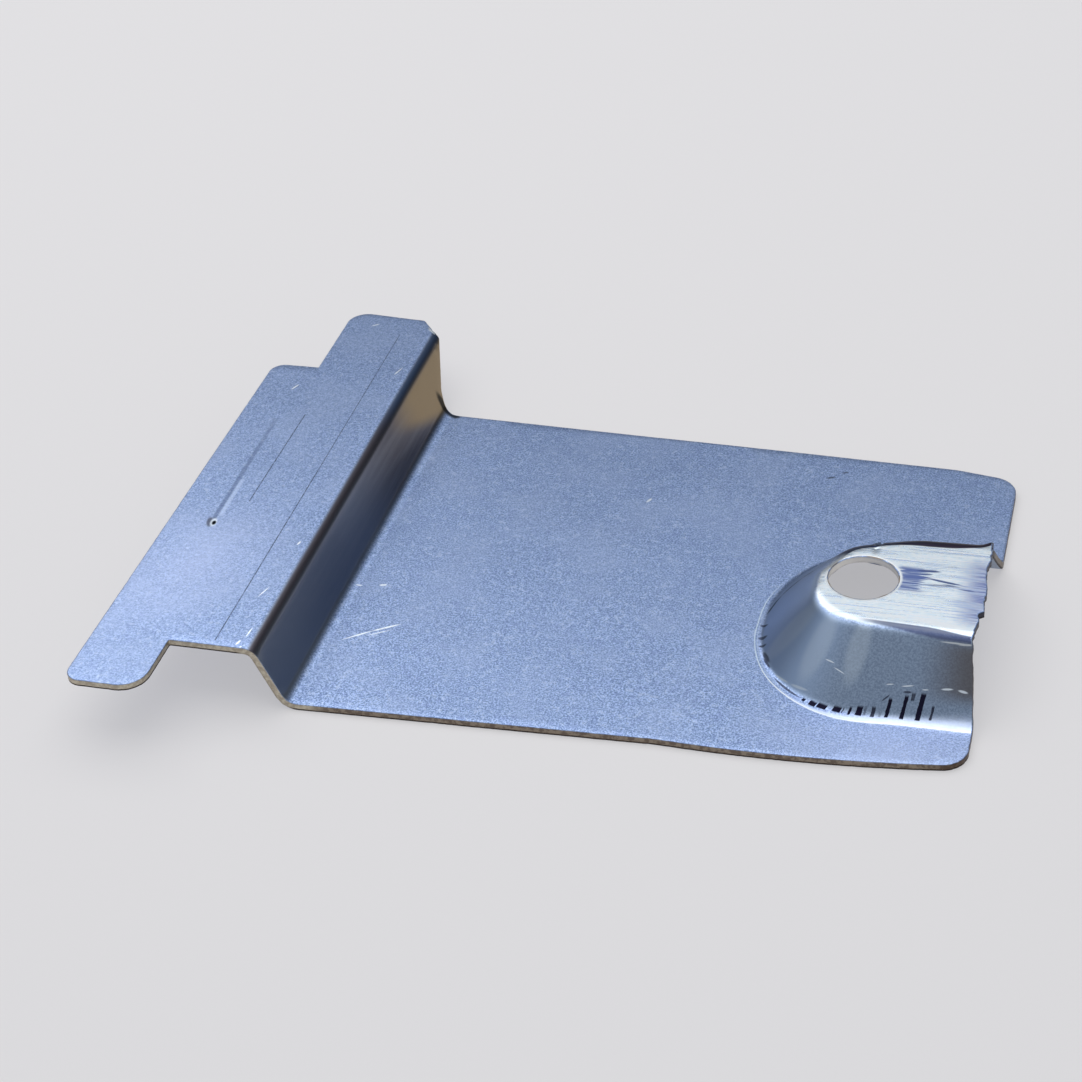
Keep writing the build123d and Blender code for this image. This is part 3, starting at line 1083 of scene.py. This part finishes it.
def tool_marks(look):
    """Scratches, nicks, the scored lines on the flange, and the groove that ends in a small pit.
    The groove's rim and the pit's lip get painted highlights, the pit and its other rim painted
    shade, and one scratch row is a painted highlight.
    """
    g = look.g
    broken = g.smooth(look.speck, 0.36, 0.56)
    # Pale scratches; one row is a painted highlight at the relief's corner.
    look.paint(g.times(look.dashes(SCRATCHES_AND_HIGHLIGHT), g.blend(broken, 0.7, 1.0)), rgb(252, 254, 255), 0.3)
    look.paint(g.times(look.dashes(DARK_NICKS), 0.7), rgb(52, 58, 74))
    look.paint(g.times(look.strokes(SCORED_LINES), g.blend(broken, 0.5, 0.9)), rgb(58, 66, 88))
    fading = g.fade(look.y, 34.0, 56.0)
    groove = g.times(look.strokes((GROOVE,)), g.blend(fading, 0.4, 1.0))
    look.paint(g.times(groove, 0.5), rgb(78, 92, 124), None, -5.0)
    # Painted highlight along the groove's rim, then painted shade round the pit, a painted
    # highlight on its lip and painted shade in it.
    look.paint(g.times(look.strokes((GROOVE_RIM_HIGHLIGHT,)), fading, 0.5), rgb(206, 220, 248))
    look.paint(g.times(look.dashes((PIT_RIM_SHADE,)), 0.8), rgb(84, 84, 96), 0.5)
    look.paint(g.times(look.dashes((PIT_LIP_HIGHLIGHT,)), 0.8), rgb(232, 238, 246))
    look.paint(look.dashes((PIT_SHADE,)), rgb(14, 16, 22), 0.6)


def sheared_edges(look):
    """Bare steel where the sheet was cut: a smooth tan upper part over a dark torn lower part."""
    g = look.g
    # A dark brown strip along the upper face's rim at the plate's right end.
    right_end_dark_strip = g.times(g.smooth(look.x, 85.9, 86.15), g.smooth(look.y, 39.0, 41.5))
    right_end_dark_strip = g.times(right_end_dark_strip, g.fade(look.level, -0.2, 0.0))
    look.paint(g.times(right_end_dark_strip, look.upper, 0.85), rgb(58, 44, 44), 0.5)
    bare = g.times(look.cut, g.smooth(look.depth, 0.03, 0.12))
    tan_steel = g.mix(g.smooth(look.speck, 0.35, 0.65), rgb(168, 158, 142), rgb(200, 192, 174))
    worn = g.mix(g.smooth(look.speck, 0.4, 0.6), rgb(112, 100, 90), rgb(148, 136, 122))
    front = g.times(g.smooth(look.x, 2.0, 6.0), g.fade(look.y, 8.0, 16.0))
    colour = g.mix(front, tan_steel, worn)
    colour = g.mix(g.times(g.smooth(look.x, 80.0, 85.0), 0.7), colour, rgb(74, 56, 48))
    lip = g.times(g.smooth(look.x, 83.0, 85.0), g.smooth(look.level, 0.5, 0.8))
    colour = g.mix(lip, colour, rgb(66, 66, 78))
    joggle = g.window(look.x, -5.5, 0.5, 0.5)
    lower = g.smooth(g.math("MULTIPLY_ADD", look.speck, 0.2, look.depth), 0.84, 0.92)
    lower = g.times(lower, g.math("MULTIPLY_ADD", joggle, -0.8, 1.0))
    colour = g.mix(lower, colour, rgb(48, 38, 36))
    hole_wall = g.fade(look.hole_gap, HOLE_RADIUS + 0.3, HOLE_RADIUS + 0.5)
    colour = g.mix(g.times(hole_wall, 0.85), colour, rgb(246, 243, 238))
    look.paint(bare, colour, 0.45)


def plain_underside(look):
    """The lower face has the same coat, a little duller and with broad drawing marks."""
    g = look.g
    look.paint(g.times(look.under, g.smooth(look.along_y, 0.4, 0.7), 0.4), rgb(138, 150, 172), 0.5)


def steel():
    """Zinc-coated steel: a fine grain, a rubbed boss, a joggle darkened with painted shade, bare
    cut edges, and painted light, highlights, reflections and shade in places.
    """
    g = Graph(bpy.data.materials.new("galvanised_steel"))
    look = Look(g)
    for layer in (
        zinc_grain,
        joggle_painted_shade,
        drawn_wall,
        rubbed_top,
        drawn_shoulder,
        foot_of_draw,
        tool_marks,
        plain_underside,
        sheared_edges,
    ):
        layer(look)
    g.put(g.shader.inputs["Base Color"], look.colour)
    g.put(g.shader.inputs["Roughness"], look.roughness)
    g.shader.inputs["Metallic"].default_value = 1.0
    bump = g.tree.nodes.new("ShaderNodeBump")
    bump.inputs["Strength"].default_value = 0.3
    bump.inputs["Distance"].default_value = 0.00004
    g.put(bump.inputs["Height"], look.height)
    g.put(g.shader.inputs["Normal"], bump.outputs["Normal"])
    return g.owner


def floor():
    """The plain pale floor, which glows a little so that shadows stay faint."""
    mesh = bpy.data.meshes.new("floor")
    size = 6.0
    corners = [(-size, -size, 0), (size, -size, 0), (size, size, 0), (-size, size, 0)]
    mesh.from_pydata(corners, [], [(0, 1, 2, 3)])
    made = bpy.data.objects.new("floor", mesh)
    g = Graph(bpy.data.materials.new("floor"))
    g.shader.inputs["Base Color"].default_value = (0.425, 0.395, 0.385, 1)
    g.shader.inputs["Roughness"].default_value = 0.9
    g.shader.inputs["Specular IOR Level"].default_value = 0.0
    g.shader.inputs["Emission Color"].default_value = (1.0, 0.985, 0.995, 1)
    g.shader.inputs["Emission Strength"].default_value = 0.4
    mesh.materials.append(g.owner)
    bpy.context.scene.collection.objects.link(made)


def soft_light(name, place, target, width, height, brightness, colour):
    """A soft rectangular light that looks at a point. Its brightness is that of its face."""
    data = bpy.data.lights.new(name, "AREA")
    data.shape = "RECTANGLE"
    data.size = width
    data.size_y = height
    data.energy = brightness * pi * width * height
    data.color = colour
    made = bpy.data.objects.new(name, data)
    made.location = place
    made.rotation_euler = (Vector(target) - Vector(place)).to_track_quat("-Z", "Y").to_euler()
    bpy.context.scene.collection.objects.link(made)


def lights():
    """Two soft panels above and behind, and a dome: brightest overhead, with a fill in front."""
    g = Graph(bpy.data.worlds.new("studio"))
    background = g.tree.nodes["Background"]
    source = g.tree.nodes.new("ShaderNodeTexCoord")
    split = g.tree.nodes.new("ShaderNodeSeparateXYZ")
    g.put(split.inputs[0], source.outputs["Generated"])
    _, across, up = split.outputs
    overhead = g.smooth(up, 0.2, 0.85, 0.12, 0.5)
    in_front = g.smooth(across, 0.3, -0.5, 0.0, 0.42)
    low_down = g.smooth(up, 0.7, 0.35)
    strength = g.math("MULTIPLY_ADD", in_front, low_down, overhead)
    g.put(background.inputs["Strength"], strength)
    background.inputs["Color"].default_value = (0.84, 0.94, 1.05, 1)
    bpy.context.scene.world = g.owner
    soft_light("overhead", (-0.15, 0.21, 0.55), (-0.15, 0.21, 0), 0.9, 0.84, 1.0, (0.93, 0.97, 1.0))
    soft_light("window", (-0.64, 0.56, 0.66), (-0.05, 0, 0), 0.5, 0.45, 0.95, (0.97, 0.98, 1.0))


# The photograph's camera, fitted to the bracket's straight edges and its hole
IMAGE_SIZE = 1082
SENSOR_WIDTH = 36.0
FOCAL_PIXELS = 2306.0
CAMERA_PLACE = (0.07410, -0.24545, 0.18866)
CAMERA_FORWARD = (-0.25246, 0.77267, -0.58244)
CAMERA_ROLL = radians(4.918)


def camera():
    """A camera without shift that sees the bracket as the photograph does."""
    data = bpy.data.cameras.new("camera")
    data.sensor_width = SENSOR_WIDTH
    data.lens = SENSOR_WIDTH * FOCAL_PIXELS / IMAGE_SIZE
    made = bpy.data.objects.new("camera", data)
    aim = Vector(CAMERA_FORWARD).to_track_quat("-Z", "Y").to_matrix().to_4x4()
    roll = Matrix.Rotation(-CAMERA_ROLL, 4, "Z")
    made.matrix_world = Matrix.Translation(CAMERA_PLACE) @ aim @ roll
    data.clip_start = 0.01
    bpy.context.scene.collection.objects.link(made)
    bpy.context.scene.camera = made


piece = build_sheet()
bpy.context.scene.collection.objects.link(piece)
piece.data.materials.append(steel())
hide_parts("bracket")
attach(piece, "root")
floor()
lights()
camera()
bpy.context.scene.view_settings.view_transform = "Standard"
